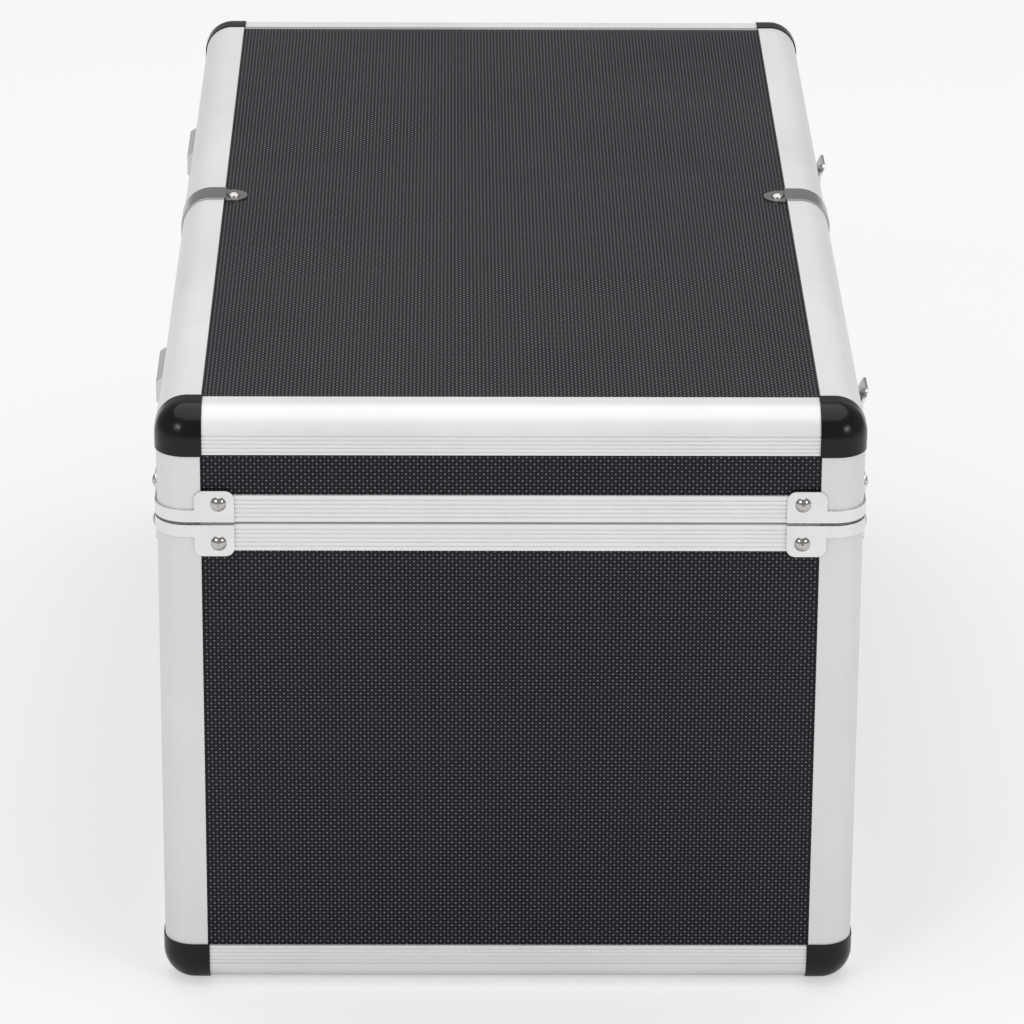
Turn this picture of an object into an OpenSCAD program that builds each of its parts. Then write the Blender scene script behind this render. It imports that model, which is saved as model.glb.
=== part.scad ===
// Record carrying case: panelled box with angle rails, ball corners, hinged lid,
// two flap latches with key locks, swinging carry handle and two sliding lid stays.
// Length runs along Y, the latch side faces +X, the hinge side faces -X.

/* [Case] */
// Length over the corner caps
case_l = 710; // [560:1:900]
// Width over the corner caps
case_w = 380; // [350:1:460]
// Height over the corner caps, lid shut
case_h = 340; // [300:1:420]
// Height of the lid from the seam to the top of its rails
lid_h = 63; // [60:1:90]
// Open seam between the body rim and the lid rim
seam_gap = 1.5; // [1.2:0.1:2]

/* [Panels and rails] */
// Thickness of the laminated board panels
panel_t = 5; // [4:0.5:6]
// Thickness of the rail's outer skin
skin = 1.5; // [1.2:0.1:1.8]
// Width of each rail flange
rail_leg = 24; // [23:0.5:28]
// Outer corner radius of the rails
rail_r = 16.5; // [14:0.5:18]
// Height of the rim rails at the seam
rim_h = 15; // [14.5:0.5:16]
// Depth of the fine grooves along the rails
groove_d = 0.4; // [0.2:0.05:0.6]

/* [Corner caps and clips] */
// Distance each ball corner reaches along the rails
cap_reach = 25; // [24.5:0.5:30]
// How far the ball corners stand proud of the rails
cap_proud = 0.8; // [0.5:0.1:1.2]
// Thickness of the corner clips and straps
clip_t = 1.2; // [1:0.1:1.5]
// Height of the clip tabs below and above the seam
tab_h = 18; // [16:0.5:20]
// Radius of the rivet heads
rivet_r = 4.4; // [3.5:0.1:5]

/* [Hinges] */
// Distance of each hinge from the middle of the case
hinge_y = 195; // [150:5:250]
// Width of each hinge
hinge_w = 55; // [50:1:70]
// Height of the hinge leaf on the body
leaf_h = 24; // [20:1:34]
// Height of the pressed-out cover on the lid leaf
cover_h = 18; // [14:1:19]
// How far the cover stands out from the leaf
cover_out = 4.5; // [3:0.5:6]

/* [Latches] */
// Distance of each latch from the middle of the case
latch_y = 195; // [110:5:210]
// Width of the flap
flap_w = 24; // [20:1:28]
// Distance from the seam down to the flap pivot
flap_drop = 40; // [38:1:46]

/* [Handle] */
// Height of the handle pivot above the floor
handle_z = 215; // [150:5:225]
// Length of the grip
grip_l = 110; // [100:1:130]
// Distance from the handle pivot to the middle of the grip
grip_drop = 32; // [30:1:40]

/* [Stays and lining] */
// Distance of both stay pivots from the hinge axis
stay_r = 120; // [110:1:130]
// Largest opening angle of the lid
lid_open = 95; // [90:1:100]
// Thickness of the foam pad in the lid
lid_pad_t = 6; // [3:0.5:6]
// Thickness of the floor pad
floor_pad_t = 3; // [2:0.5:5]
// Thickness of the wall lining
lining_t = 2.5; // [1.5:0.5:3]

/* [Hidden] */
$fn = 64;
hw = case_w / 2 - cap_proud;
hl = case_l / 2 - cap_proud;
z0 = cap_proud;
z1 = case_h - cap_proud;
seam = z1 - lid_h;
body_top = seam - seam_gap / 2;
lid_bot = seam + seam_gap / 2;
inner = skin + panel_t;
web = 1.2;
block_h = 5.5;
rim_in = inner + 2;
clip_l = 42;
tab_from = 20.5;
rivet_u = 33.5;
rivet_drop = 10.5;
strap_w = 19;
axis_off = 3.8;
axis_x = -(hw + axis_off);
knuckle_r = 3.5;
leaf_t = 1.5;
leaf_out = axis_off - leaf_t;
leaf_rivet_z = 9.5;
cover_z = 14;
knuckle_w = hinge_w / 5;
pin_r = 2;
latch_out = 5.5;
plug_drop = 16;
stay_up = 20;
stay_down = 41;
stay_ap = asin(stay_up / stay_r);
stay_aa = asin(stay_down / stay_r);
pivot_x = axis_x + stay_r * cos(stay_ap);
stud_x = axis_x + stay_r * cos(stay_aa);
stay_d0 = 2 * stay_r * sin((stay_ap + stay_aa) / 2);
stay_d1 = 2 * stay_r * sin((stay_ap + stay_aa + lid_open) / 2);
stay_deg = atan2(-stay_up - stay_down, stud_x - pivot_x);
stay_in = 10.2;
stay_t = 2;

alu = [0.80, 0.81, 0.83];
steel = [0.72, 0.73, 0.75];
black = [0.10, 0.10, 0.11];
board = [0.20, 0.20, 0.22];
foam = [0.16, 0.16, 0.17];
felt = [0.24, 0.24, 0.26];

// ---- shared shapes -------------------------------------------------------

// Sheet of thickness t standing on its edge, facing X, with two rounded top corners
module upright_plate(w, low, high, r, t) {
    rotate([90, 0, 90]) linear_extrude(t) {
        translate([-w / 2, low]) square([w, high - low - r]);
        translate([-w / 2 + r, low]) square([w - 2 * r, high - low]);
        for (side = [-1, 1]) translate([side * (w / 2 - r), high - r]) circle(r);
    }
}

// Square with one rounded corner at the origin
module corner_area(s, r) {
    intersection() {
        square([s, s]);
        union() {
            translate([r, r]) circle(r);
            translate([r, -1]) square([s, s + 1]);
            translate([-1, r]) square([s + 1, s]);
        }
    }
}

// Section of the angle rail: skin, panel pockets and hollow core
module angle_section(grooved = true) {
    difference() {
        corner_area(rail_leg, rail_r);
        translate([inner + web, inner + web]) square(rail_leg);
        translate([rail_r, skin]) square([rail_leg, panel_t]);
        translate([skin, rail_r]) square([panel_t, rail_leg]);
        difference() {
            intersection() {
                translate([rail_r, rail_r]) circle(rail_r - skin);
                square(rail_r - web);
            }
            translate([inner, inner]) square(rail_leg);
        }
        if (grooved) {
            for (i = [0 : 4]) {
                at = rail_leg - 11 + i * 2.2;
                off = at < rail_r ? rail_r - sqrt(pow(rail_r, 2) - pow(rail_r - at, 2)) : 0;
                translate([-1, at]) square([1 + off + groove_d, 0.9]);
            }
        }
    }
}

// Section of a rim rail, seam face on y = 0
module rim_section() {
    difference() {
        union() {
            square([skin, rim_h]);
            square([rim_in, block_h]);
            translate([inner, 0]) square([web, 12]);
        }
        for (i = [0 : 4]) {
            translate([-1, 2.4 + i * 2.4]) square([1 + groove_d, 0.9]);
        }
    }
}

// Places its children at the four upright corners, drawn for (-x, -y)
module four_corners() {
    for (mx = [0, 1]) {
        for (my = [0, 1]) {
            mirror([mx, 0, 0]) mirror([0, my, 0]) translate([-hw, -hl, 0]) children();
        }
    }
}

// Rail along Y at the -X side, outer corner on the origin
module rail_y(len) {
    rotate([90, 0, 0]) linear_extrude(len, center = true) children();
}

// Rail along X at the -Y end, outer corner on the origin
module rail_x(len) {
    rotate([90, 0, 90]) linear_extrude(len, center = true) children();
}

// Solid corner with three rounded edges and a ball
module corner_solid(s, r) {
    intersection() {
        cube(s);
        union() {
            translate([r, r, r]) sphere(r);
            translate([r, r, r]) cylinder(h = s, r = r);
            translate([r, r, r]) rotate([-90, 0, 0]) cylinder(h = s, r = r);
            translate([r, r, r]) rotate([0, 90, 0]) cylinder(h = s, r = r);
            translate([r, r, 0]) cube([s, s, s]);
            translate([r, 0, r]) cube([s, s, s]);
            translate([0, r, r]) cube([s, s, s]);
        }
    }
}

// Ball corner shell with its inner corner walls, rail corner on the origin
module ball_cap() {
    p = cap_proud;
    s = cap_reach + p;
    difference() {
        translate([-p, -p, -p]) corner_solid(s, rail_r + p);
        translate([skin, skin, skin]) corner_solid(s + 2, rail_r - skin);
        for (a = [0, 1, 2]) {
            rotate(a == 0 ? [0, 0, 0] : a == 1 ? [90, 0, 90] : [-90, -90, 0])
                translate([0, 0, rail_leg]) linear_extrude(9) corner_area(s + 4, rail_r);
        }
    }
    intersection() {
        difference() {
            translate([inner, inner, inner]) cube(rail_leg - inner);
            translate([inner + web, inner + web, inner + web]) cube(rail_leg);
        }
        corner_solid(s, rail_r);
    }
}

// Corner clip for the (-x, -y) corner, hanging down from its seam edge
module corner_clip() {
    t = clip_t;
    difference() {
        union() {
            translate([0, 0, -7]) linear_extrude(7) difference() {
                translate([-t, -t]) corner_area(clip_l + t, rail_r + t);
                corner_area(clip_l + 9, rail_r);
            }
            for (m = [0, 1]) {
                mirror([m, -m, 0]) translate([0, -t, 0]) rotate([-90, 0, 0])
                    linear_extrude(t) tab_area();
            }
        }
        for (m = [0, 1]) {
            mirror([m, -m, 0]) translate([rivet_u, -9, -rivet_drop])
                rotate([-90, 0, 0]) cylinder(h = 18, r = 1.6);
        }
    }
}

// Outline of a clip tab with rounded lower corners, y pointing away from the seam
module tab_area() {
    r = 5;
    w = clip_l - tab_from;
    translate([tab_from, 0]) square([w, tab_h - r]);
    translate([tab_from + r, 0]) square([w - 2 * r, tab_h]);
    translate([tab_from + r, tab_h - r]) circle(r);
    translate([clip_l - r, tab_h - r]) circle(r);
}

// Domed rivet along +z, shank below the origin
module rivet(r, shank) {
    translate([0, 0, -shank]) cylinder(h = shank + 0.4, r = 1.6);
    rotate_extrude() intersection() {
        translate([0, -3.2]) circle(5.4);
        square([r, 3]);
    }
}

// The two rivets of one corner clip, drawn for (-x, -y) below the seam
module clip_rivets() {
    for (m = [0, 1]) {
        mirror([m, -m, 0]) translate([rivet_u, -clip_t, -rivet_drop])
            rotate([90, 0, 0]) rivet(rivet_r, clip_t + skin);
    }
}

// Holes for the clip rivets in the rails along X or along Y
module rim_holes() {
    for (mx = [0, 1]) {
        for (my = [0, 1]) {
            mirror([mx, 0, 0]) mirror([0, my, 0]) translate([-hw, -hl, 0]) {
                for (m = [0, 1]) {
                    mirror([m, -m, 0]) translate([rivet_u, -1, -rivet_drop])
                        rotate([-90, 0, 0]) cylinder(h = skin + 1, r = 1.6);
                }
            }
        }
    }
}

// ---- body shell ----------------------------------------------------------

module bottom_panel() {
    color(board) translate([0, 0, z0 + skin + panel_t / 2])
        cube([2 * (hw - rail_r), 2 * (hl - rail_r), panel_t], center = true);
}

module body_wall_x(side) {
    low = z0 + rail_r;
    high = body_top - block_h;
    color(board) translate([side * (hw - skin - panel_t / 2), 0, (low + high) / 2])
        cube([panel_t, 2 * (hl - rail_r), high - low], center = true);
}

module body_wall_y(side) {
    low = z0 + rail_r;
    high = body_top - block_h;
    color(board) translate([0, side * (hl - skin - panel_t / 2), (low + high) / 2])
        cube([2 * (hw - rail_r), panel_t, high - low], center = true);
}

module latch_side_wall() { body_wall_x(1); }

module hinge_side_wall() { body_wall_x(-1); }

module near_wall() { body_wall_y(-1); }

module far_wall() { body_wall_y(1); }

module bottom_rail_y(m) {
    color(alu) mirror([m, 0, 0]) translate([-hw, 0, z0])
        rail_y(2 * (hl - rail_leg)) angle_section();
}

module bottom_rail_x(m) {
    color(alu) mirror([0, m, 0]) translate([0, -hl, z0])
        rail_x(2 * (hw - rail_leg)) angle_section();
}

module bottom_rail_hinge_side() { bottom_rail_y(0); }

module bottom_rail_latch_side() { bottom_rail_y(1); }

module bottom_rail_near() { bottom_rail_x(0); }

module bottom_rail_far() { bottom_rail_x(1); }

module body_post(mx, my) {
    color(alu) mirror([mx, 0, 0]) mirror([0, my, 0])
        translate([-hw, -hl, z0 + rail_leg])
            linear_extrude(body_top - z0 - rail_leg) angle_section(false);
}

module body_post_near_hinge() { body_post(0, 0); }

module body_post_near_latch() { body_post(1, 0); }

module body_post_far_hinge() { body_post(0, 1); }

module body_post_far_latch() { body_post(1, 1); }

module tongue_section() {
    rim_section();
    translate([3.4, -seam_gap - 2]) square([1.6, seam_gap + 3]);
}

module body_rim_y(m) {
    color(alu) difference() {
        mirror([m, 0, 0]) translate([-hw, 0, body_top]) mirror([0, 0, 1])
            rail_y(2 * (hl - rail_leg)) tongue_section();
        translate([0, 0, body_top]) rim_holes();
    }
}

module body_rim_x(m) {
    color(alu) difference() {
        mirror([0, m, 0]) translate([0, -hl, body_top]) mirror([0, 0, 1])
            rail_x(2 * (hw - rail_leg)) tongue_section();
        translate([0, 0, body_top]) rim_holes();
    }
}

module body_rim_hinge_side() { body_rim_y(0); }

module body_rim_latch_side() { body_rim_y(1); }

module body_rim_near() { body_rim_x(0); }

module body_rim_far() { body_rim_x(1); }

module bottom_caps() {
    color(black) four_corners() translate([0, 0, z0]) ball_cap();
}

module body_clips() {
    color(steel) four_corners() translate([0, 0, body_top]) corner_clip();
}

module body_rivets() {
    color(steel) {
        four_corners() translate([0, 0, body_top]) clip_rivets();
        at_hinges() mirror([0, 0, 1]) leaf_rivets();
        latch_rivets();
        handle_rivets();
    }
}

// ---- lid shell -----------------------------------------------------------

module lid_panel() {
    color(board) translate([0, 0, z1 - skin - panel_t / 2])
        cube([2 * (hw - rail_r), 2 * (hl - rail_r), panel_t], center = true);
}

module lid_strip_x(side) {
    low = lid_bot + block_h;
    high = z1 - rail_r;
    color(board) translate([side * (hw - skin - panel_t / 2), 0, (low + high) / 2])
        cube([panel_t, 2 * (hl - rail_r), high - low], center = true);
}

module lid_strip_y(side) {
    low = lid_bot + block_h;
    high = z1 - rail_r;
    color(board) translate([0, side * (hl - skin - panel_t / 2), (low + high) / 2])
        cube([2 * (hw - rail_r), panel_t, high - low], center = true);
}

module lid_strip_latch_side() { lid_strip_x(1); }

module lid_strip_hinge_side() { lid_strip_x(-1); }

module lid_strip_near() { lid_strip_y(-1); }

module lid_strip_far() { lid_strip_y(1); }

module top_rail_y(m) {
    color(alu) mirror([m, 0, 0]) translate([-hw, 0, z1]) mirror([0, 0, 1])
        rail_y(2 * (hl - rail_leg)) angle_section();
}

module top_rail_x(m) {
    color(alu) mirror([0, m, 0]) translate([0, -hl, z1]) mirror([0, 0, 1])
        rail_x(2 * (hw - rail_leg)) angle_section();
}

module top_rail_hinge_side() { top_rail_y(0); }

module top_rail_latch_side() { top_rail_y(1); }

module top_rail_near() { top_rail_x(0); }

module top_rail_far() { top_rail_x(1); }

module lid_posts() {
    color(alu) four_corners() translate([0, 0, lid_bot])
        linear_extrude(z1 - rail_leg - lid_bot) angle_section(false);
}

module groove_section() {
    difference() {
        rim_section();
        translate([3, -1]) square([3.6, 4.8]);
    }
}

module lid_rim_y(m) {
    color(alu) difference() {
        mirror([m, 0, 0]) translate([-hw, 0, lid_bot])
            rail_y(2 * (hl - rail_leg)) groove_section();
        translate([0, 0, lid_bot]) mirror([0, 0, 1]) rim_holes();
    }
}

module lid_rim_x(m) {
    color(alu) difference() {
        mirror([0, m, 0]) translate([0, -hl, lid_bot])
            rail_x(2 * (hw - rail_leg)) groove_section();
        translate([0, 0, lid_bot]) mirror([0, 0, 1]) rim_holes();
    }
}

module lid_rim_hinge_side() { lid_rim_y(0); }

module lid_rim_latch_side() { lid_rim_y(1); }

module lid_rim_near() { lid_rim_x(0); }

module lid_rim_far() { lid_rim_x(1); }

module lid_caps() {
    color(black) four_corners() translate([0, 0, z1]) mirror([0, 0, 1]) ball_cap();
}

module lid_clips() {
    color(steel) four_corners() translate([0, 0, lid_bot]) mirror([0, 0, 1]) corner_clip();
}

// Strap at mid-length of a long top rail, drawn for the -X side
module strap() {
    t = clip_t;
    translate([-hw, 0, z1]) mirror([0, 0, 1]) {
        rotate([90, 0, 0]) linear_extrude(strap_w, center = true) {
            difference() {
                translate([-t, -t]) corner_area(rail_leg + t, rail_r + t);
                corner_area(rail_leg + 9, rail_r);
            }
            translate([rail_leg, -t]) square([t, skin + t]);
            translate([-t, rail_leg]) square([skin + t, t]);
        }
        for (m = [0, 1]) {
            mirror([m, 0, -m]) translate([rail_leg, 0, skin - t]) {
                linear_extrude(t) difference() {
                    union() {
                        translate([0, -strap_w / 2]) square([4, strap_w]);
                        translate([4, 0]) circle(strap_w / 2);
                    }
                    translate([-12, -strap_w]) square([12, 2 * strap_w]);
                    translate([5.5, 0]) circle(1.6);
                }
            }
        }
    }
}

module straps() {
    color(steel) for (m = [0, 1]) mirror([m, 0, 0]) strap();
}

module strap_rivets() {
    for (m = [0, 1]) {
        mirror([m, 0, 0]) translate([-hw, 0, z1]) mirror([0, 0, 1]) {
            for (n = [0, 1]) {
                mirror([n, 0, -n]) translate([rail_leg + 5.5, 0, skin - clip_t])
                    mirror([0, 0, 1]) rivet(4, clip_t);
            }
        }
    }
}

module lid_rivets() {
    color(steel) {
        four_corners() translate([0, 0, lid_bot]) mirror([0, 0, 1]) clip_rivets();
        at_hinges() leaf_rivets();
        strap_rivets();
        keeper_rivets();
    }
}

// ---- hinges --------------------------------------------------------------

// Places its children at both hinges
module at_hinges() {
    for (s = [-1, 1]) translate([axis_x, s * hinge_y, seam]) children();
}

// Leaf reaching up, origin on the hinge axis, with its own set of knuckles
module hinge_leaf(slots, height) {
    difference() {
        union() {
            translate([leaf_out, 0, 0]) upright_plate(hinge_w, 4, height, 4, leaf_t);
            for (i = slots) {
                translate([0, (i - 2.5) * knuckle_w + 0.1, 0]) {
                    translate([leaf_out, 0, 0]) cube([leaf_t - 0.2, knuckle_w - 0.2, 5]);
                    rotate([-90, 0, 0]) cylinder(h = knuckle_w - 0.2, r = knuckle_r);
                }
            }
        }
        rotate([90, 0, 0]) cylinder(h = hinge_w + 9, r = pin_r + 0.05, center = true);
        for (y = [-hinge_w / 3, 0, hinge_w / 3]) {
            translate([0, y, leaf_rivet_z]) rotate([0, 90, 0]) cylinder(h = 9, r = 1.6);
        }
    }
}

module hinge_body_leaves() {
    color(steel) at_hinges() mirror([0, 0, 1]) hinge_leaf([0, 2, 4], leaf_h);
}

// Side outline of the cover pressed out of the lid leaf: x outward, y up
module cover_area(low, out, slope) {
    high = 2 * cover_z + cover_h - low;
    polygon([[axis_off + 1, low], [leaf_out, low], [leaf_out - out, low + slope],
        [leaf_out - out, high - slope], [leaf_out, high], [axis_off + 1, high]]);
}

module hinge_lid_leaves() {
    color(steel) at_hinges() difference() {
        union() {
            hinge_leaf([1, 3], cover_z + cover_h + 2.5);
            intersection() {
                rotate([90, 0, 0]) linear_extrude(hinge_w - 7, center = true)
                    cover_area(cover_z, cover_out, 3);
                translate([-20, -hinge_w / 2, 0]) cube([20 + axis_off, hinge_w, 60]);
            }
        }
        rotate([90, 0, 0]) linear_extrude(hinge_w - 7 - 2 * leaf_t, center = true)
            cover_area(cover_z + leaf_t + 0.5, cover_out - leaf_t, 2.2);
    }
}

module hinge_pins() {
    color(steel) at_hinges() rotate([90, 0, 0]) {
        cylinder(h = hinge_w, r = pin_r, center = true);
        for (s = [-1, 1]) {
            translate([0, 0, s * (hinge_w / 2 + 0.4)]) cylinder(h = 1, r = 3, center = true);
        }
    }
}

// Rivets of one leaf, origin on the hinge axis
module leaf_rivets() {
    for (y = [-hinge_w / 3, 0, hinge_w / 3]) {
        translate([leaf_out, y, leaf_rivet_z]) rotate([0, -90, 0]) rivet(3.2, leaf_t);
    }
}

// ---- latches -------------------------------------------------------------

// Places its children on the latch side, seam height, for one latch
module at_latch(s) {
    translate([hw, s * latch_y, seam]) children();
}

module latch_bases() {
    color(steel) for (s = [-1, 1]) at_latch(s) {
        difference() {
            mirror([0, 0, 1]) upright_plate(38, 3, 52, 3, 1.5);
            for (y = [-16.3, 16.3]) {
                for (z = [-10, -47]) {
                    translate([-1, y, z]) rotate([0, 90, 0]) cylinder(h = 4, r = 1.6);
                }
            }
        }
        for (m = [0, 1]) {
            mirror([0, m, 0]) translate([0, flap_w / 2 + 0.3, 0]) difference() {
                union() {
                    translate([1.4, 0, -flap_drop - 5]) cube([latch_out - 1.4, 1.5, 10]);
                    translate([latch_out, 0, -flap_drop]) rotate([-90, 0, 0])
                        cylinder(h = 1.5, r = 3.4);
                }
                translate([latch_out, -1, -flap_drop]) rotate([-90, 0, 0])
                    cylinder(h = 4, r = 1.5);
            }
        }
        translate([1.4, -5, -plug_drop - 13]) cube([3.2, 10, 1.2]);
        translate([4.6, -5, -plug_drop - 13]) cube([1.2, 10, 5]);
    }
}

module latch_pins() {
    color(steel) for (s = [-1, 1]) at_latch(s) {
        translate([latch_out, 0, -flap_drop]) rotate([90, 0, 0]) {
            cylinder(h = flap_w + 3.6, r = 1.5, center = true);
            for (e = [-1, 1]) {
                translate([0, 0, e * (flap_w / 2 + 2.3)]) cylinder(h = 1, r = 2.4, center = true);
            }
        }
    }
}

module latch_rivets() {
    for (s = [-1, 1]) at_latch(s) {
        for (y = [-16.3, 16.3]) {
            for (z = [-10, -47]) {
                translate([1.5, y, z]) rotate([0, 90, 0]) rivet(2.3, 1.5);
            }
        }
    }
}

module latch_keepers() {
    color(steel) for (s = [-1, 1]) at_latch(s) {
        difference() {
            upright_plate(38, 2, 16, 3, 1.5);
            for (y = [-15.5, 15.5]) {
                translate([-1, y, 11.5]) rotate([0, 90, 0]) cylinder(h = 4, r = 1.6);
            }
        }
        translate([1.4, -11, 7.4]) cube([4.6, 22, 1.8]);
    }
}

module keeper_rivets() {
    for (s = [-1, 1]) at_latch(s) {
        for (y = [-15.5, 15.5]) {
            translate([1.5, y, 11.5]) rotate([0, 90, 0]) rivet(2.6, 1.5);
        }
    }
}

// Side outline of the flap: x outward, y up from the seam
module flap_area() {
    top = 9.6;
    difference() {
        union() {
            translate([latch_out, -flap_drop]) circle(3.1);
            translate([6.6, -flap_drop]) square([1.8, flap_drop + top + 1.8]);
            translate([2.6, top]) square([5, 1.8]);
            polygon([[6.6, top + 1.8], [8.4, top + 1.8], [11.4, top + 9.5], [10, top + 10.2]]);
        }
        translate([latch_out, -flap_drop]) circle(1.55);
    }
}

module latch_flap(s) {
    color(steel) at_latch(s) difference() {
        intersection() {
            rotate([90, 0, 0]) linear_extrude(flap_w, center = true) flap_area();
            upright_plate(flap_w + 0.1, -flap_drop - 9, 20.5, 6, 30);
        }
        translate([4, 0, -plug_drop]) rotate([0, 90, 0]) cylinder(h = 9, r = 6.05);
    }
}

module latch_flap_near() { latch_flap(-1); }

module latch_flap_far() { latch_flap(1); }

module lock_plug(s) {
    color(steel) at_latch(s) mirror([0, s < 0 ? 1 : 0, 0]) translate([0, 0, -plug_drop]) difference() {
        union() {
            translate([5.6, 0, 0]) rotate([0, 90, 0]) cylinder(h = 3.6, r = 6);
            translate([8.6, 0, 0]) rotate([0, 90, 0]) cylinder(h = 1, r = 7);
            translate([3, 0, 0]) rotate([0, 90, 0]) cylinder(h = 3, r = 2.4);
            translate([2.6, -3, -3]) cube([1.5, 13.5, 6]);
        }
        translate([8, -0.6, -2.6]) cube([3, 1.2, 5.2]);
        translate([8, 0, 2.2]) rotate([0, 90, 0]) cylinder(h = 3, r = 1.3);
    }
}

module lock_plug_near() { lock_plug(-1); }

module lock_plug_far() { lock_plug(1); }

// ---- handle --------------------------------------------------------------

// Origin on the handle pivot axis
module at_handle() {
    translate([hw + 7.5, 0, handle_z]) children();
}

module handle_plate() {
    y1 = grip_l / 2 + 5;
    color(steel) at_handle() {
        for (n = [0, 1]) {
            mirror([0, 0, n]) difference() {
                translate([-9, 0, 0]) upright_plate(2 * y1 + 32, 0, 12, 5, 2);
                for (y = [-y1 - 11, y1 + 11]) {
                    translate([-12, y, 6.5]) rotate([0, 90, 0]) cylinder(h = 9, r = 1.6);
                }
            }
        }
        for (m = [0, 1]) {
            mirror([0, m, 0]) translate([0, y1, 0]) difference() {
                union() {
                    translate([-7.1, 0, -6]) cube([7.1, 4, 12]);
                    rotate([-90, 0, 0]) cylinder(h = 4, r = 6);
                }
                translate([0, -1, 0]) rotate([-90, 0, 0]) cylinder(h = 9, r = 2.5);
            }
        }
    }
}

module handle_rivets() {
    y1 = grip_l / 2 + 5;
    at_handle() for (y = [-y1 - 11, y1 + 11]) {
        for (z = [-6.5, 6.5]) {
            translate([-7, y, z]) rotate([0, 90, 0]) rivet(2.8, 2);
        }
    }
}

module handle_pins() {
    y1 = grip_l / 2 + 5;
    color(steel) at_handle() for (m = [0, 1]) {
        mirror([0, m, 0]) rotate([-90, 0, 0]) {
            translate([0, 0, y1 - 6]) cylinder(h = 11, r = 2.5);
            translate([0, 0, y1 + 4]) cylinder(h = 1.2, r = 4);
        }
    }
}

module handle_bail() {
    y0 = grip_l / 2;
    color(steel) at_handle() {
        for (m = [0, 1]) {
            mirror([0, m, 0]) translate([0, y0, 0]) rotate([-90, 0, 0]) linear_extrude(4.6)
                difference() {
                    union() {
                        circle(5.6);
                        translate([-5.6, 0]) square([11.2, grip_drop]);
                        translate([0, grip_drop]) circle(5.6);
                    }
                    circle(2.55);
                }
        }
        translate([0, 0, -grip_drop]) rotate([90, 0, 0])
            cylinder(h = grip_l + 1, r = 4, center = true);
    }
}

module handle_grip() {
    n = 4;
    color(black) at_handle() translate([0, 0, -grip_drop]) difference() {
        intersection() {
            rotate([90, 0, 0]) cylinder(h = grip_l - 0.2, r = 9, center = true);
            cube([13, grip_l, 17], center = true);
        }
        rotate([90, 0, 0]) cylinder(h = grip_l + 9, r = 4, center = true);
        for (i = [0 : n - 1]) {
            translate([0, (i - (n - 1) / 2) * 23, -25.5]) rotate([0, 90, 0])
                cylinder(h = 30, r = 18.5, center = true);
        }
    }
}

// ---- stays ---------------------------------------------------------------

// Stepped stud along +y: foot, bearing and head
module stud() {
    rotate([-90, 0, 0]) {
        cylinder(h = stay_in - inner - 0.2, r = 6);
        cylinder(h = stay_in + stay_t - inner + 0.6, r = 2.5);
        translate([0, 0, stay_in + stay_t - inner + 0.2]) cylinder(h = 1.4, r = 5);
    }
}

module stay_body_studs() {
    color(steel) for (m = [0, 1]) {
        mirror([0, m, 0]) translate([stud_x, -hl + inner, seam - stay_down]) stud();
    }
}

module stay_lid_studs() {
    color(steel) for (m = [0, 1]) {
        mirror([0, m, 0]) translate([pivot_x, -hl + inner, seam + stay_up]) stud();
    }
}

module stay_area() {
    end = stay_d1 + 1.5;
    difference() {
        union() {
            circle(6.5);
            translate([0, -6.5]) square([end, 13]);
            translate([end, 0]) circle(6.5);
        }
        circle(2.55);
        translate([stay_d0 - 1.5, -2.55]) square([end - stay_d0 + 1.5, 5.1]);
        translate([stay_d0 - 1.5, 0]) circle(2.55);
        translate([end, 0]) circle(2.55);
    }
}

module stay_arm(m) {
    color(steel) mirror([0, m, 0])
        translate([pivot_x, -hl + stay_in + stay_t, seam + stay_up])
            rotate([90, 0, 0]) linear_extrude(stay_t) rotate(stay_deg) stay_area();
}

module stay_arm_near() { stay_arm(0); }

module stay_arm_far() { stay_arm(1); }

// ---- lining --------------------------------------------------------------

module floor_pad() {
    color(foam) translate([0, 0, z0 + inner + floor_pad_t / 2])
        cube([2 * (hw - rail_leg - 1), 2 * (hl - rail_leg - 1), floor_pad_t], center = true);
}

module lid_pad() {
    color(foam) translate([0, 0, z1 - inner - lid_pad_t / 2])
        cube([2 * (hw - rail_leg - 1), 2 * (hl - rail_leg - 1), lid_pad_t], center = true);
}

module wall_lining() {
    low = z0 + rail_leg + 1;
    high = body_top - 13;
    mid = (low + high) / 2;
    color(felt) for (s = [-1, 1]) {
        translate([s * (hw - inner - lining_t / 2), 0, mid])
            cube([lining_t, 2 * (hl - rail_leg - 1), high - low], center = true);
        difference() {
            translate([0, s * (hl - inner - lining_t / 2), mid])
                cube([2 * (hw - rail_leg - 1), lining_t, high - low], center = true);
            translate([stud_x, s * (hl - inner), seam - stay_down])
                rotate([90, 0, 0]) cylinder(h = 20, r = 7.5, center = true);
        }
    }
}

// Node to build

bottom_panel();
latch_side_wall();
hinge_side_wall();
near_wall();
far_wall();
bottom_rail_hinge_side();
bottom_rail_latch_side();
bottom_rail_near();
bottom_rail_far();
body_post_near_hinge();
body_post_near_latch();
body_post_far_hinge();
body_post_far_latch();
body_rim_hinge_side();
body_rim_latch_side();
body_rim_near();
body_rim_far();
bottom_caps();
body_clips();
body_rivets();
lid_panel();
lid_strip_latch_side();
lid_strip_hinge_side();
lid_strip_near();
lid_strip_far();
top_rail_hinge_side();
top_rail_latch_side();
top_rail_near();
top_rail_far();
lid_posts();
lid_rim_hinge_side();
lid_rim_latch_side();
lid_rim_near();
lid_rim_far();
lid_caps();
lid_clips();
lid_rivets();
straps();
hinge_body_leaves();
hinge_lid_leaves();
hinge_pins();
latch_bases();
latch_pins();
latch_keepers();
latch_flap_near();
latch_flap_far();
lock_plug_near();
lock_plug_far();
handle_plate();
handle_pins();
handle_bail();
handle_grip();
stay_body_studs();
stay_lid_studs();
stay_arm_near();
stay_arm_far();
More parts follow.
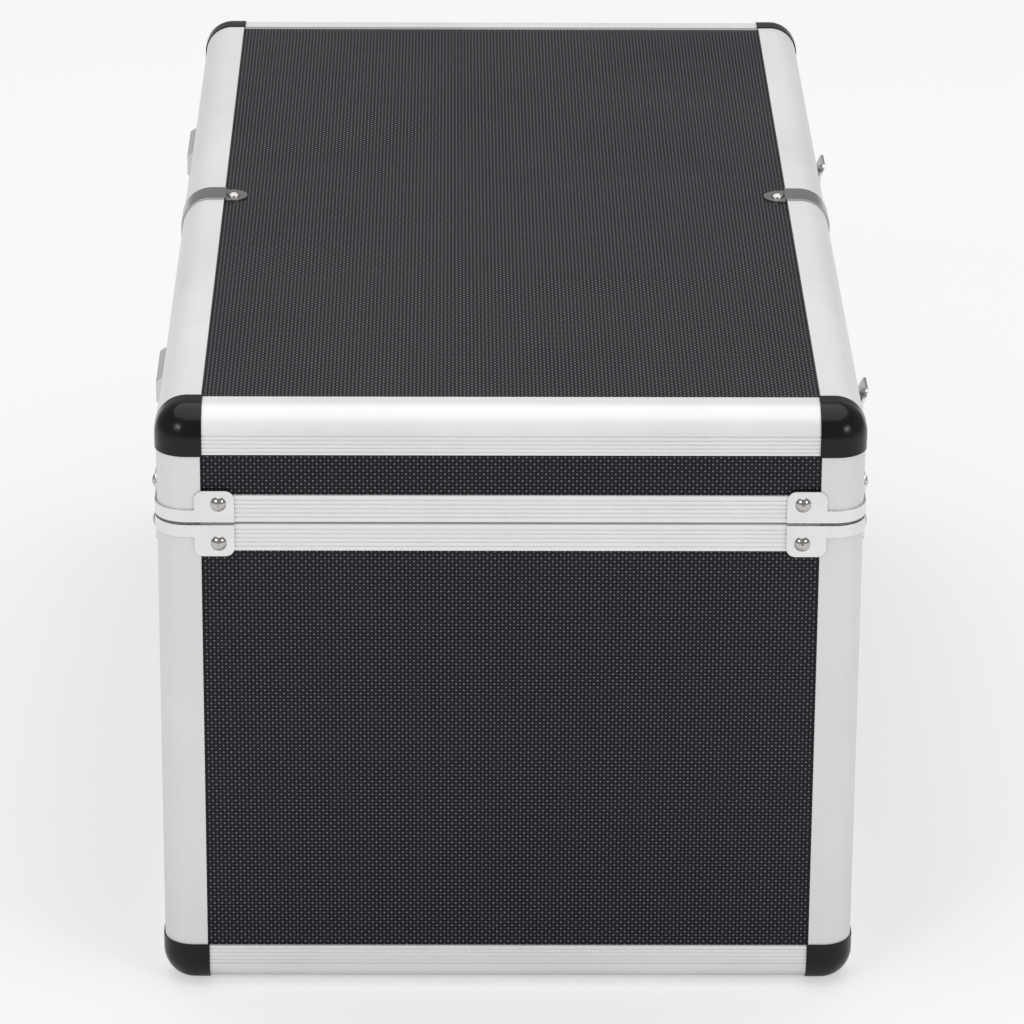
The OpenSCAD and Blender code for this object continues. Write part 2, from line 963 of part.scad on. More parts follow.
floor_pad();
lid_pad();
wall_lining();
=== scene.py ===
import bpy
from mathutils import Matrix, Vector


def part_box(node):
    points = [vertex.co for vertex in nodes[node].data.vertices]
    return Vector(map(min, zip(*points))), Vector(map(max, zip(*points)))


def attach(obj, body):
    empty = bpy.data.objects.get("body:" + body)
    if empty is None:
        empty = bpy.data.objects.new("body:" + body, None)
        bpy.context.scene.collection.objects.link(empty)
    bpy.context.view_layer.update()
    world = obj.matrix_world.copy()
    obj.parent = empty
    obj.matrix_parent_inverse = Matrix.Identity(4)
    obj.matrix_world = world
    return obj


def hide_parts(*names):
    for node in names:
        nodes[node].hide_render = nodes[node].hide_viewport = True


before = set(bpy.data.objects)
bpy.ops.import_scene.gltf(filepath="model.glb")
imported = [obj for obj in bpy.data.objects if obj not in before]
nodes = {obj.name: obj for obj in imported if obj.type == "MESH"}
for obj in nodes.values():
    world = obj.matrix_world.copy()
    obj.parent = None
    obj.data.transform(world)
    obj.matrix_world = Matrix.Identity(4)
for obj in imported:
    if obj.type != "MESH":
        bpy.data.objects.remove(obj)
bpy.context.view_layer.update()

import math

import bpy
from mathutils import Matrix, Vector


# Board panels. The case is skinned with thin laminated boards whose black plastic face is
# embossed with staggered fine dots. Each board slides into the pockets of the rails.

def start_material(name):
    """A new material, its node tree and its Principled shader."""
    made = bpy.data.materials.new(name)
    made.use_nodes = True
    tree = made.node_tree
    return made, tree, tree.nodes["Principled BSDF"]


def add_node(tree, kind, **values):
    """A new node of that kind, with its own settings."""
    node = tree.nodes.new(kind)
    for key, value in values.items():
        setattr(node, key, value)
    return node


def do_math(tree, operation, first, second=None, clamp=False):
    """A math node whose inputs are sockets or numbers. Returns its output."""
    node = add_node(tree, "ShaderNodeMath", operation=operation, use_clamp=clamp)
    for slot, value in enumerate((first, second)):
        if value is None:
            continue
        if isinstance(value, (int, float)):
            node.inputs[slot].default_value = value
        else:
            tree.links.new(value, node.inputs[slot])
    return node.outputs[0]


def new_group(name, inputs, outputs):
    """An empty shader node group with named sockets: (kind, name, default). A default of
    None is left at 0, because each use of the group gives its own value."""
    group = bpy.data.node_groups.new(name, "ShaderNodeTree")
    for kind, label, default in inputs:
        socket = group.interface.new_socket(label, in_out="INPUT", socket_type=kind)
        if default is not None:
            socket.default_value = default
    for kind, label in outputs:
        group.interface.new_socket(label, in_out="OUTPUT", socket_type=kind)
    return group, group.nodes.new("NodeGroupInput"), group.nodes.new("NodeGroupOutput")


def place_group(tree, group, vector=None, **values):
    """The group as one node of a material, with its own values. An underscore in a value's
    name stands for a space in the socket's name."""
    node = add_node(tree, "ShaderNodeGroup", node_tree=group)
    for label, value in values.items():
        node.inputs[label.replace("_", " ")].default_value = value
    if vector is not None:
        tree.links.new(vector, node.inputs["Vector"])
    return node


def object_position(tree, rotation=(0, 0, 0), scale=(1, 1, 1)):
    """Object coordinates, turned and scaled, as a vector output."""
    coordinates = add_node(tree, "ShaderNodeTexCoord")
    mapping = add_node(tree, "ShaderNodeMapping")
    mapping.inputs["Rotation"].default_value = rotation
    mapping.inputs["Scale"].default_value = scale
    tree.links.new(coordinates.outputs["Object"], mapping.inputs["Vector"])
    return mapping.outputs["Vector"]


def mix_colours(tree, factor, low, high):
    """A colour mix driven by a mask, between fixed colours or colour sockets."""
    first_colour, second_colour, mixed = 6, 7, 2
    node = add_node(tree, "ShaderNodeMix", data_type="RGBA")
    for slot, colour in ((first_colour, low), (second_colour, high)):
        if isinstance(colour, tuple):
            node.inputs[slot].default_value = (*colour, 1)
        else:
            tree.links.new(colour, node.inputs[slot])
    tree.links.new(factor, node.inputs[0])
    return node.outputs[mixed]


def rescale(tree, value, low, high):
    """A 0 to 1 value spread over low to high."""
    node = add_node(tree, "ShaderNodeMapRange")
    node.inputs["To Min"].default_value = low
    node.inputs["To Max"].default_value = high
    tree.links.new(value, node.inputs["Value"])
    return node.outputs["Result"]


def add_bump(tree, shader, height, distance, strength=1.0):
    """Relief from a 0 to 1 height that stands for distance in metres."""
    bump = add_node(tree, "ShaderNodeBump")
    bump.inputs["Distance"].default_value = distance
    bump.inputs["Strength"].default_value = strength
    tree.links.new(height, bump.inputs["Height"])
    tree.links.new(bump.outputs["Normal"], shader.inputs["Normal"])


def make_dot_lattice():
    """Round dots on a staggered lattice in the first two coordinates, with fainter dots
    between them that stand for the ridges of the embossing."""
    group, inside, outside = new_group(
        "dot lattice",
        [("NodeSocketVector", "Vector", None), ("NodeSocketFloat", "Pitch across", None),
         ("NodeSocketFloat", "Pitch up", None), ("NodeSocketFloat", "Dot radius", None),
         ("NodeSocketFloat", "Between", None)],
        [("NodeSocketFloat", "Mask")])
    parts = add_node(group, "ShaderNodeSeparateXYZ")
    group.links.new(inside.outputs["Vector"], parts.inputs[0])
    even, odd = 0.0, 0.5
    squared = {}
    for axis, pitch in (("X", "Pitch across"), ("Y", "Pitch up")):
        for offset in (even, odd):
            cell = do_math(group, "DIVIDE", parts.outputs[axis], inside.outputs[pitch])
            cell = do_math(group, "FRACT", do_math(group, "ADD", cell, offset))
            from_middle = do_math(group, "SUBTRACT", cell, 0.5)
            leg = do_math(group, "MULTIPLY", from_middle, inside.outputs[pitch])
            squared[axis, offset] = do_math(group, "MULTIPLY", leg, leg)
    radius = inside.outputs["Dot radius"]
    staggered = ((even, even), (odd, odd))
    between = ((even, odd), (odd, even))
    dots = []
    for lattice in (staggered, between):
        spans = [do_math(group, "ADD", squared["X", x], squared["Y", y]) for x, y in lattice]
        ratio = do_math(group, "DIVIDE", do_math(group, "MINIMUM", *spans),
                        do_math(group, "MULTIPLY", radius, radius))
        dots.append(do_math(group, "SUBTRACT", 1.0, ratio, clamp=True))
    faint = do_math(group, "MULTIPLY", dots[1], inside.outputs["Between"])
    group.links.new(do_math(group, "MAXIMUM", dots[0], faint), outside.inputs["Mask"])
    return group


def make_soft_mottle():
    """Cloudy variation from 0 to 1, slow or fine by its scale."""
    group, inside, outside = new_group(
        "soft mottle",
        [("NodeSocketVector", "Vector", None), ("NodeSocketFloat", "Scale", None),
         ("NodeSocketFloat", "Detail", 5.0)],
        [("NodeSocketFloat", "Value")])
    noise = add_node(group, "ShaderNodeTexNoise")
    group.links.new(inside.outputs["Vector"], noise.inputs["Vector"])
    group.links.new(inside.outputs["Scale"], noise.inputs["Scale"])
    group.links.new(inside.outputs["Detail"], noise.inputs["Detail"])
    spread = add_node(group, "ShaderNodeMapRange")
    spread.inputs["From Min"].default_value = 0.3
    spread.inputs["From Max"].default_value = 0.7
    group.links.new(noise.outputs[0], spread.inputs["Value"])
    group.links.new(spread.outputs["Result"], outside.inputs["Value"])
    return group


def make_gap_shade():
    """A mask for painted shade: near 0 in grooves, joints and at the foot of raised parts, where
    nearby surfaces occlude, and 1 on open faces.
    """
    group, inside, outside = new_group(
        "gap shade", [("NodeSocketFloat", "Reach", None), ("NodeSocketFloat", "Open", None)],
        [("NodeSocketFloat", "Value")])
    deepest = 0.1
    softness = 0.6
    near = add_node(group, "ShaderNodeAmbientOcclusion", samples=6)
    group.links.new(inside.outputs["Reach"], near.inputs["Distance"])
    spread = add_node(group, "ShaderNodeMapRange")
    spread.inputs["From Min"].default_value = deepest
    group.links.new(inside.outputs["Open"], spread.inputs["From Max"])
    group.links.new(near.outputs["AO"], spread.inputs["Value"])
    soft = do_math(group, "POWER", spread.outputs["Result"], softness)
    group.links.new(soft, outside.inputs["Value"])
    return group


dot_lattice = make_dot_lattice()
soft_mottle = make_soft_mottle()
gap_shade = make_gap_shade()


def make_dotted_board(name, rotation, axis, middle, reach, low, high):
    """Embossed plastic on the outer face, which lies further than reach from the middle of the
    case along axis. The face towards the inside is plain. low is the colour of the board and
    high is the lighter colour painted on the dots, a painted glint that stands for the
    highlights on the embossed bumps."""
    dot_height = 0.00015
    made, tree, shader = start_material(name)
    flat = object_position(tree, rotation)
    dots = place_group(tree, dot_lattice, flat, Pitch_across=0.00413, Pitch_up=0.00387,
                       Dot_radius=0.00066, Between=0.2).outputs["Mask"]
    parts = add_node(tree, "ShaderNodeSeparateXYZ")
    tree.links.new(object_position(tree), parts.inputs[0])
    depth = do_math(tree, "ABSOLUTE", do_math(tree, "SUBTRACT", parts.outputs[axis], middle))
    dots = do_math(tree, "MULTIPLY", dots, do_math(tree, "GREATER_THAN", depth, reach))
    cloud = place_group(tree, soft_mottle, object_position(tree), Scale=9.0).outputs["Value"]
    # The dots are painted lighter, a painted glint on each embossed bump; the bump below also
    # gives them real relief.
    tree.links.new(mix_colours(tree, dots, low, high), shader.inputs["Base Color"])
    tree.links.new(rescale(tree, cloud, 0.42, 0.52), shader.inputs["Roughness"])
    add_bump(tree, shader, dots, dot_height)
    shader.inputs["Specular IOR Level"].default_value = 0.23
    return made


def dress(names, material):
    """The material on CAD nodes that stay as they are."""
    for name in names:
        mesh = nodes[name].data
        mesh.materials.clear()
        mesh.materials.append(material)


quarter = math.radians(90)
board_middle_height = 0.170
# The dot colours are painted glints of the embossed bumps.
upright_board, upright_dot_glints = (0.002, 0.002, 0.0040), (0.178, 0.178, 0.205)
# The flat boards get lighter board and dot colours than the upright ones: painted light on the
# flat top and bottom.
lit_flat_board, lit_flat_dot_glints = (0.003, 0.003, 0.0050), (0.222, 0.222, 0.252)
dress(["near_wall", "far_wall", "lid_strip_near", "lid_strip_far"],
      make_dotted_board("dotted board ends", (quarter, 0, 0), "Y", 0.0, 0.350,
                        upright_board, upright_dot_glints))
dress(["latch_side_wall", "hinge_side_wall", "lid_strip_latch_side", "lid_strip_hinge_side"],
      make_dotted_board("dotted board sides", (quarter, quarter, 0), "X", 0.0, 0.185,
                        upright_board, upright_dot_glints))
dress(["bottom_panel", "lid_panel"],
      make_dotted_board("dotted board flat", (0, 0, 0), "Z", board_middle_height, 0.165,
                        lit_flat_board, lit_flat_dot_glints))


# Rails, posts and rims. Extruded aluminium with a satin anodised finish; fine drawing lines
# run along each length, and the grooves are part of the section.

def make_drawn_lines():
    """Long thin lines along the last coordinate, as an extrusion die leaves them."""
    group, inside, outside = new_group(
        "drawn lines",
        [("NodeSocketVector", "Vector", None), ("NodeSocketFloat", "Lines per metre", 2500.0),
         ("NodeSocketFloat", "Waver", 3.0)],
        [("NodeSocketFloat", "Value")])
    parts = add_node(group, "ShaderNodeSeparateXYZ")
    group.links.new(inside.outputs["Vector"], parts.inputs[0])
    joined = add_node(group, "ShaderNodeCombineXYZ")
    for axis in ("X", "Y"):
        group.links.new(do_math(group, "MULTIPLY", parts.outputs[axis],
                                inside.outputs["Lines per metre"]), joined.inputs[axis])
    group.links.new(do_math(group, "MULTIPLY", parts.outputs["Z"], inside.outputs["Waver"]),
                    joined.inputs["Z"])
    noise = add_node(group, "ShaderNodeTexNoise")
    noise.inputs["Scale"].default_value = 1.0
    noise.inputs["Detail"].default_value = 3.0
    group.links.new(joined.outputs[0], noise.inputs["Vector"])
    group.links.new(noise.outputs[0], outside.inputs["Value"])
    return group


drawn_lines = make_drawn_lines()


def make_satin_aluminium(name, rotation, low, high):
    """Anodised aluminium from low to high in colour. The rotation turns the length of the
    piece to the last coordinate, along which the drawn lines run."""
    painted_gap_shade_colour = (0.05, 0.05, 0.055)
    line_depth = 0.00002
    made, tree, shader = start_material(name)
    turned = object_position(tree, rotation)
    lines = place_group(tree, drawn_lines, turned).outputs["Value"]
    cloud = place_group(tree, soft_mottle, object_position(tree), Scale=14.0).outputs["Value"]
    colour = mix_colours(tree, cloud, low, high)
    # Painted shade: the colour is darkened in the grooves, the seam and round the clips, where
    # nearby surfaces occlude.
    painted_gap_shade = place_group(tree, gap_shade, Reach=0.0016, Open=0.30).outputs["Value"]
    tree.links.new(mix_colours(tree, painted_gap_shade, painted_gap_shade_colour, colour), shader.inputs["Base Color"])
    roughness = do_math(tree, "ADD", rescale(tree, lines, 0.34, 0.46),
                        rescale(tree, cloud, 0.0, 0.06))
    tree.links.new(roughness, shader.inputs["Roughness"])
    shader.inputs["Metallic"].default_value = 0.22
    add_bump(tree, shader, lines, line_depth)
    return made


along_x = ["bottom_rail_near", "bottom_rail_far", "top_rail_near", "top_rail_far",
           "body_rim_near", "body_rim_far", "lid_rim_near", "lid_rim_far"]
along_y = [name for name in nodes
           if ("rail" in name or "rim" in name) and name not in along_x]
along_z = [name for name in nodes if "post" in name]
rail_low, rail_high = (0.74, 0.745, 0.755), (0.79, 0.795, 0.805)
# The posts get a darker copy of the rail colours: painted shade on the uprights.
shaded_post_low, shaded_post_high = (0.665, 0.67, 0.68), (0.705, 0.71, 0.72)
dress(along_x, make_satin_aluminium("satin aluminium across", (0, quarter, 0),
                                    rail_low, rail_high))
dress(along_y, make_satin_aluminium("satin aluminium along", (quarter, 0, 0),
                                    rail_low, rail_high))
dress(along_z, make_satin_aluminium("satin aluminium upright", (0, 0, 0),
                                    shaded_post_low, shaded_post_high))


# Ball corners. Moulded black plastic shells pushed over the rail ends at all eight corners;
# glossy, with a faint mould texture and slightly uneven shine.

def make_corner_plastic():
    ripple_height = 0.00004
    made, tree, shader = start_material("ball corner plastic")
    place = object_position(tree)
    cloud = place_group(tree, soft_mottle, place, Scale=60.0).outputs["Value"]
    tree.links.new(mix_colours(tree, cloud, (0.003, 0.003, 0.003), (0.006, 0.006, 0.006)),
                   shader.inputs["Base Color"])
    tree.links.new(rescale(tree, cloud, 0.16, 0.26), shader.inputs["Roughness"])
    shader.inputs["Specular IOR Level"].default_value = 0.28
    ripple = place_group(tree, soft_mottle, place, Scale=260.0).outputs["Value"]
    add_bump(tree, shader, ripple, ripple_height)
    return made


def rounded_copy(name, width, segments=2, body=None, limit=30):
    """A copy of a CAD node, standing for the node, with a bevel of that width on the edges
    that turn by more than limit degrees."""
    merge_distance = 0.000002
    flat_within = math.radians(1.0)
    smooth_within = math.radians(32)
    strongest = 100
    piece = bpy.data.objects.new(name + "_finished", nodes[name].data.copy())
    bpy.context.collection.objects.link(piece)
    bpy.ops.object.select_all(action="DESELECT")
    bpy.context.view_layer.objects.active = piece
    piece.select_set(True)
    bpy.ops.object.mode_set(mode="EDIT")
    bpy.ops.mesh.select_all(action="SELECT")
    bpy.ops.mesh.remove_doubles(threshold=merge_distance)
    bpy.ops.mesh.dissolve_limited(angle_limit=flat_within)
    bpy.ops.mesh.normals_make_consistent(inside=False)
    bpy.ops.object.mode_set(mode="OBJECT")
    bevel = piece.modifiers.new("softened edges", "BEVEL")
    bevel.width = width
    bevel.segments = segments
    bevel.limit_method = "ANGLE"
    bevel.angle_limit = math.radians(limit)
    bpy.ops.object.modifier_apply(modifier=bevel.name)
    bpy.ops.object.shade_smooth_by_angle(angle=smooth_within)
    even = piece.modifiers.new("even faces", "WEIGHTED_NORMAL")
    even.keep_sharp = True
    even.weight = strongest
    bpy.ops.object.modifier_apply(modifier=even.name)
    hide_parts(name)
    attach(piece, body)
    return piece


corner_plastic = make_corner_plastic()
for name, body in (("bottom_caps", "case_body"), ("lid_caps", "lid")):
    caps = rounded_copy(name, 0.0004, body=body, limit=40)
    caps.data.materials.clear()
    caps.data.materials.append(corner_plastic)


# Corner clips, straps and rivets. Pressed steel with a bright plated finish; the clips
# tie the rim rails to the posts at the seam and the straps clasp the long top rails.

def make_plated_steel(name, shade, low, high, metallic=1.0):
    """Plated steel of that shade of colour, with fine scratches that vary its roughness between
    low and high, and painted shade darkening its colour in gaps and joints."""
    scratch_turn = (0.3, 0.5, 0.2)
    scratch_depth = 0.000004
    painted_gap_shade_colour = (0.06, 0.06, 0.06)
    made, tree, shader = start_material(name)
    place = object_position(tree)
    cloud = place_group(tree, soft_mottle, place, Scale=45.0).outputs["Value"]
    scratch = place_group(tree, drawn_lines, object_position(tree, scratch_turn),
                          Lines_per_metre=900.0, Waver=60.0).outputs["Value"]
    darker = tuple(part * 0.9 for part in shade)
    # Painted shade: the colour is darkened where nearby surfaces occlude it.
    painted_gap_shade = place_group(tree, gap_shade, Reach=0.0012, Open=0.7).outputs["Value"]
    colour = mix_colours(tree, cloud, darker, shade)
    tree.links.new(mix_colours(tree, painted_gap_shade, painted_gap_shade_colour, colour), shader.inputs["Base Color"])
    roughness = do_math(tree, "ADD", rescale(tree, scratch, low, high),
                        rescale(tree, cloud, 0.0, 0.05))
    tree.links.new(roughness, shader.inputs["Roughness"])
    shader.inputs["Metallic"].default_value = metallic
    add_bump(tree, shader, scratch, scratch_depth)
    return made


plated_steel = make_plated_steel("plated steel", (0.72, 0.73, 0.74), 0.10, 0.22)
clip_steel = make_plated_steel("clip steel", (0.80, 0.81, 0.82), 0.16, 0.30)
rivet_steel = make_plated_steel("rivet steel", (0.54, 0.52, 0.50), 0.08, 0.18)
# The straps get a darker steel colour: painted shade and painted dark reflection on plated steel
# like the rest.
shaded_strap_steel = make_plated_steel("shaded strap steel", (0.50, 0.50, 0.505), 0.14, 0.26)


def finish_metal(name, body, material, width=0.0003, segments=2):
    """A softened copy of a steel CAD node, in its own material."""
    piece = rounded_copy(name, width, segments, body)
    piece.data.materials.clear()
    piece.data.materials.append(material)


finish_metal("body_clips", "case_body", clip_steel)
finish_metal("lid_clips", "lid", clip_steel)
finish_metal("straps", "lid", shaded_strap_steel)
dress(["body_rivets", "lid_rivets"], rivet_steel)


# Hinges. Each has two leaves of plated steel rolled round a pin and riveted to the rim rails
# and the boards. The lid leaf has a pressed-out cover.

hinge_steel = make_plated_steel("hinge steel", (0.74, 0.745, 0.75), 0.14, 0.26, 0.55)
finish_metal("hinge_body_leaves", "case_body", hinge_steel)
finish_metal("hinge_lid_leaves", "lid", hinge_steel)
dress(["hinge_pins"], plated_steel)


# Latches and locks. Each latch is a pressed base with two ears, a stiffly turning flap that
# hooks over the keeper on the lid, and a key lock whose cam turns behind a lip of the base.

finish_metal("latch_bases", "case_body", plated_steel)
finish_metal("latch_keepers", "lid", plated_steel)
finish_metal("latch_flap_near", "latch_near", plated_steel, 0.0004)
finish_metal("latch_flap_far", "latch_far", plated_steel, 0.0004)
finish_metal("lock_plug_near", "lock_near", rivet_steel, 0.0002)
finish_metal("lock_plug_far", "lock_far", rivet_steel, 0.0002)
dress(["latch_pins"], rivet_steel)


# Carry handle. A steel plate with two brackets holds a bail that swings on pins; the grip
# is a plain bar of black plastic, with rounded edges, moulded round the bail's bar.

def make_grip_plastic():
    grain_height = 0.00006
    made, tree, shader = start_material("grip plastic")
    place = object_position(tree)
    grain = place_group(tree, soft_mottle, place, Scale=1400.0, Detail=2.0).outputs["Value"]
    cloud = place_group(tree, soft_mottle, place, Scale=40.0).outputs["Value"]
    tree.links.new(mix_colours(tree, cloud, (0.014, 0.014, 0.015), (0.024, 0.024, 0.025)),
                   shader.inputs["Base Color"])
    tree.links.new(rescale(tree, cloud, 0.42, 0.55), shader.inputs["Roughness"])
    add_bump(tree, shader, grain, grain_height)
    return made


finish_metal("handle_plate", "case_body", plated_steel, 0.0004)
finish_metal("handle_bail", "handle", plated_steel, 0.0006, 3)
dress(["handle_pins"], rivet_steel)
grip = rounded_copy("handle_grip", 0.0022, segments=4, body="handle", limit=25)
grip.data.materials.clear()
grip.data.materials.append(make_grip_plastic())


# Lid stays. A slotted flat bar on each end turns on a stud in the lid and slides along a
# stud in the wall, so the lid stops just past upright.

finish_metal("stay_arm_near", "stay_near", plated_steel)
finish_metal("stay_arm_far", "stay_far", plated_steel)
dress(["stay_body_studs", "stay_lid_studs"], rivet_steel)


# Lining. Grey-black needle felt is glued to the four walls; thin foam pads lie on the floor
# and under the top panel to keep the sleeves from being scuffed.

def make_felt(name, low, high, fibre):
    """Matt fibrous or porous stuff, with a grain of scale fibre over slow clouds."""
    grain_share, cloud_share = 0.7, 0.3
    grain_height = 0.0004
    made, tree, shader = start_material(name)
    place = object_position(tree)
    hairs = place_group(tree, soft_mottle, place, Scale=fibre, Detail=6.0).outputs["Value"]
    cloud = place_group(tree, soft_mottle, place, Scale=22.0).outputs["Value"]
    blend = do_math(tree, "ADD", do_math(tree, "MULTIPLY", hairs, grain_share),
                    do_math(tree, "MULTIPLY", cloud, cloud_share))
    tree.links.new(mix_colours(tree, blend, low, high), shader.inputs["Base Color"])
    shader.inputs["Roughness"].default_value = 0.95
    shader.inputs["Sheen Weight"].default_value = 0.25
    shader.inputs["Sheen Roughness"].default_value = 0.5
    add_bump(tree, shader, hairs, grain_height, strength=0.8)
    return made


def select_where(piece, kind, wanted):
    """In edit mode, selects only the vertices or edges whose end places wanted accepts."""
    bpy.ops.mesh.select_mode(type=kind)
    bpy.ops.mesh.select_all(action="DESELECT")
    bpy.ops.object.mode_set(mode="OBJECT")
    mesh = piece.data
    for part in {"VERT": mesh.vertices, "EDGE": mesh.edges}[kind]:
        if kind == "VERT":
            places = [part.co]
        else:
            places = [mesh.vertices[index].co for index in part.vertices]
        part.select = wanted(places)
    bpy.ops.object.mode_set(mode="EDIT")


def soft_sheet(name, low, high, edge, dent, face):
    """A thin sheet that fills the box low to high. Its open face, on the side that face
    points to, has softened edges and is pressed in unevenly, by up to dent."""
    cell, fewest_cuts = 0.010, 6
    near_zero = 1e-6
    margin = edge * 1.5
    dent_spacing = 0.07
    smooth_within = math.radians(40)
    low, high = Vector(low), Vector(high)
    size = high - low
    thin = min(range(3), key=lambda axis: size[axis])
    bpy.ops.object.select_all(action="DESELECT")
    bpy.ops.mesh.primitive_cube_add(size=1, location=(low + high) / 2)
    piece = bpy.context.object
    piece.name = name
    piece.scale = size
    bpy.ops.object.transform_apply(location=True, rotation=True, scale=True)
    bpy.ops.object.mode_set(mode="EDIT")
    for axis in range(3):
        if axis != thin:
            select_where(piece, "EDGE",
                         lambda ends: abs(ends[0][axis] - ends[1][axis]) > size[axis] / 2)
            bpy.ops.mesh.subdivide(number_cuts=max(fewest_cuts, int(size[axis] / cell)))
    open_side = high[thin] if face > 0 else low[thin]
    select_where(piece, "EDGE", lambda ends: all(
        abs(end[thin] - open_side) < near_zero for end in ends) and any(
        all(min(end[axis] - low[axis], high[axis] - end[axis]) < near_zero for end in ends)
        for axis in range(3) if axis != thin))
    bpy.ops.mesh.bevel(offset=edge, segments=4, profile=0.5, affect="EDGES")
    select_where(piece, "VERT", lambda places: all(
        abs(places[0][axis] - open_side) < near_zero if axis == thin
        else margin < places[0][axis] - low[axis] < size[axis] - margin
        for axis in range(3)))
    bpy.ops.object.mode_set(mode="OBJECT")
    group = piece.vertex_groups.new(name="open face")
    group.add([vert.index for vert in piece.data.vertices if vert.select], 1.0, "REPLACE")
    clouds = bpy.data.textures.new(name + " dents", "CLOUDS")
    clouds.noise_scale = dent_spacing
    press = piece.modifiers.new("uneven face", "DISPLACE")
    press.texture = clouds
    press.texture_coords = "LOCAL"
    press.direction = "XYZ"[thin]
    press.vertex_group = group.name
    press.mid_level = 1.0
    press.strength = dent * face
    bpy.ops.object.modifier_apply(modifier=press.name)
    bpy.ops.object.shade_smooth_by_angle(angle=smooth_within)
    return piece


def join_pieces(name, pieces):
    """The pieces as one object."""
    bpy.ops.object.select_all(action="DESELECT")
    for piece in pieces:
        piece.select_set(True)
    bpy.context.view_layer.objects.active = pieces[0]
    bpy.ops.object.join()
    joined = bpy.context.object
    joined.name = name
    return joined


felt = make_felt("wall felt", (0.012, 0.012, 0.013), (0.040, 0.040, 0.043), 900.0)
foam = make_felt("pad foam", (0.010, 0.010, 0.011), (0.028, 0.028, 0.030), 500.0)
low, high = [Vector(corner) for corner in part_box("wall_lining")]
thickness = 0.0025
end_x = 0.1642
side_y = 0.3292
felt_edge, felt_dent = 0.0008, 0.0005
walls = [
    soft_sheet("felt_near", (-end_x, low.y, low.z), (end_x, low.y + thickness, high.z),
               felt_edge, felt_dent, 1),
    soft_sheet("felt_far", (-end_x, high.y - thickness, low.z), (end_x, high.y, high.z),
               felt_edge, felt_dent, -1),
    soft_sheet("felt_hinge_side", (low.x, -side_y, low.z), (low.x + thickness, side_y, high.z),
               felt_edge, felt_dent, 1),
    soft_sheet("felt_latch_side", (high.x - thickness, -side_y, low.z), (high.x, side_y, high.z),
               felt_edge, felt_dent, -1)]
lining = join_pieces("wall_felt", walls)
lining.data.materials.append(felt)
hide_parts("wall_lining")
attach(lining, "case_body")

foam_edge, foam_dent = 0.0016, 0.0010
for node, body, face in (("floor_pad", "case_body", 1), ("lid_pad", "lid", -1)):
    low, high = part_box(node)
    pad = soft_sheet(node + "_foam", low, high, foam_edge, foam_dent, face)
    pad.data.materials.append(foam)
    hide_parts(node)
    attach(pad, body)


# Studio. A pale floor, a surround that is white to the camera and dimmer to everything
# else, and three soft lamps. The camera looks down on the short end, as the photograph does.

def make_floor():
    """A pale floor just under the feet of the case, brighter to the camera than to the case."""
    drop = 0.0003
    glow_seen = 0.5
    bpy.ops.object.select_all(action="DESELECT")
    bpy.ops.mesh.primitive_plane_add(size=14, location=(0, 0, -drop))
    floor = bpy.context.object
    floor.name = "studio_floor"
    made, tree, shader = start_material("studio floor")
    shader.inputs["Roughness"].default_value = 0.9
    cloud = place_group(tree, soft_mottle, object_position(tree), Scale=3.0).outputs["Value"]
    tree.links.new(mix_colours(tree, cloud, (0.855, 0.855, 0.855), (0.865, 0.865, 0.865)),
                   shader.inputs["Base Color"])
    bright = add_node(tree, "ShaderNodeEmission")
    paths = add_node(tree, "ShaderNodeLightPath")
    both = add_node(tree, "ShaderNodeMixShader")
    tree.links.new(do_math(tree, "MULTIPLY", paths.outputs["Is Camera Ray"], glow_seen),
                   both.inputs[0])
    tree.links.new(shader.outputs[0], both.inputs[1])
    tree.links.new(bright.outputs[0], both.inputs[2])
    tree.links.new(both.outputs[0], tree.nodes["Material Output"].inputs["Surface"])
    floor.data.materials.append(made)


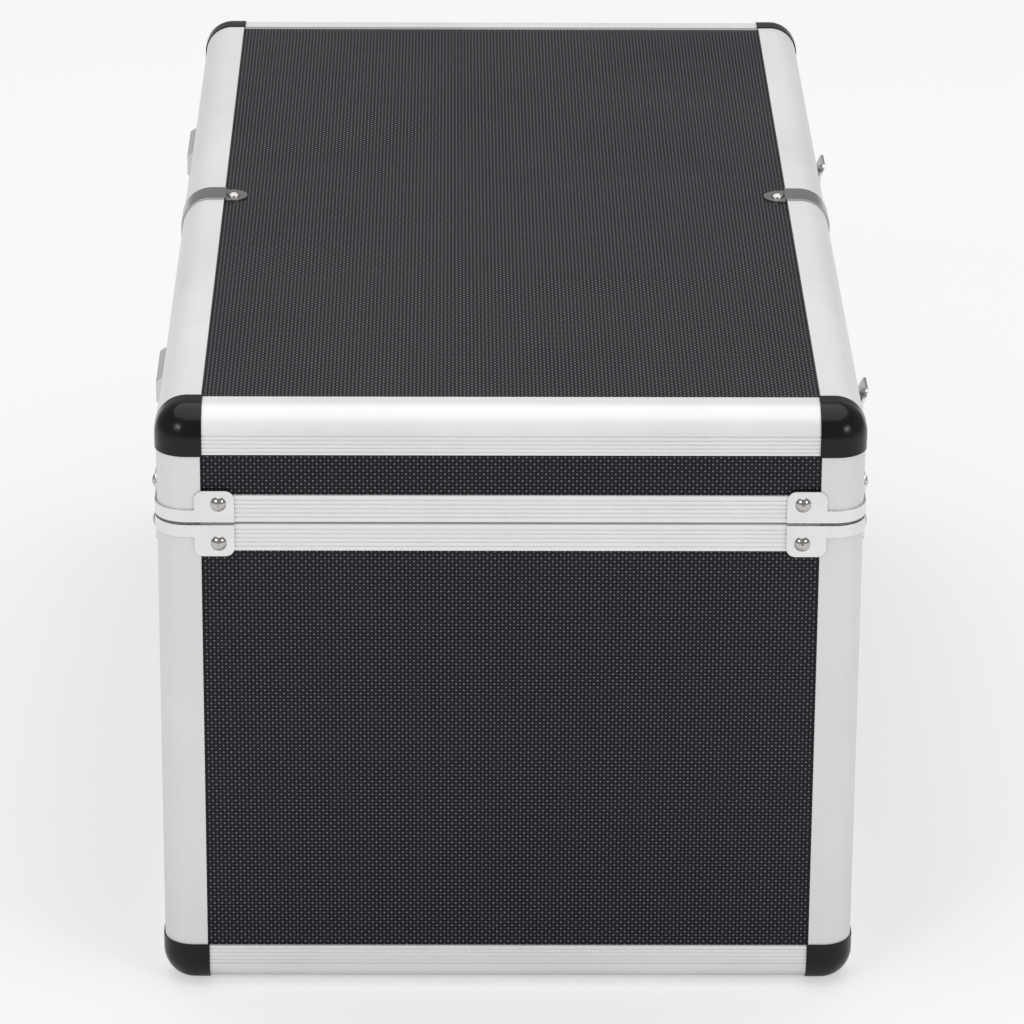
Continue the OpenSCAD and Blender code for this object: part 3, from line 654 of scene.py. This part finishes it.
def make_surround():
    """White where the camera sees it, dimmer as light and dimmest in reflections."""
    as_light = 0.58
    glossy_change = -0.25
    seen_change = 0.42
    world = bpy.data.worlds.new("studio surround")
    bpy.context.scene.world = world
    world.use_nodes = True
    tree = world.node_tree
    background = tree.nodes["Background"]
    background.inputs["Color"].default_value = (1, 1, 1, 1)
    paths = add_node(tree, "ShaderNodeLightPath")
    seen = do_math(tree, "MAXIMUM", paths.outputs["Is Camera Ray"],
                   paths.outputs["Is Transmission Ray"])
    dim = do_math(tree, "MULTIPLY", paths.outputs["Is Glossy Ray"], glossy_change)
    strength = do_math(tree, "ADD", do_math(tree, "ADD", as_light, dim),
                       do_math(tree, "MULTIPLY", seen, seen_change))
    tree.links.new(strength, background.inputs["Strength"])


def add_lamp(name, shape, place, target, size, power):
    """An area lamp at place that shines at target, in metres and watts."""
    light = bpy.data.lights.new(name, "AREA")
    light.shape = shape
    light.size, light.size_y = size
    light.energy = power
    lamp = bpy.data.objects.new(name, light)
    bpy.context.collection.objects.link(lamp)
    lamp.location = place
    lamp.rotation_euler = (Vector(target) - Vector(place)).to_track_quat("-Z", "Y").to_euler()


make_floor()
make_surround()
add_lamp("lamp_front_left", "RECTANGLE", (-1.8, -2.8, 2.0), (0, -0.2, 0.15), (1.0, 0.7), 21)
add_lamp("lamp_front_right", "RECTANGLE", (2.2, -2.4, 1.6), (0, -0.2, 0.15), (0.8, 0.6), 16)
add_lamp("lamp_overhead", "ELLIPSE", (0, 0.3, 3.2), (0, 0.3, 0), (4.5, 4.5), 66)

view = bpy.data.cameras.new("product_view")
camera = bpy.data.objects.new("product_view", view)
bpy.context.collection.objects.link(camera)
bpy.context.scene.camera = camera
view.sensor_width = 36
focal_pixels, frame_pixels = 5562, 1024
view.lens = focal_pixels / frame_pixels * view.sensor_width
view.clip_start, view.clip_end = 0.05, 40
camera.location = (-0.032, -3.0955, 1.4049)
pitch, yaw, roll = 0.3885, 0.0119, 0.0061
ahead = Vector((math.sin(yaw) * math.cos(pitch), math.cos(yaw) * math.cos(pitch),
                -math.sin(pitch)))
turn = ahead.to_track_quat("-Z", "Y").to_matrix()
camera.rotation_euler = (turn @ Matrix.Rotation(roll, 3, "Z")).to_euler()
bpy.context.scene.view_settings.view_transform = "Standard"
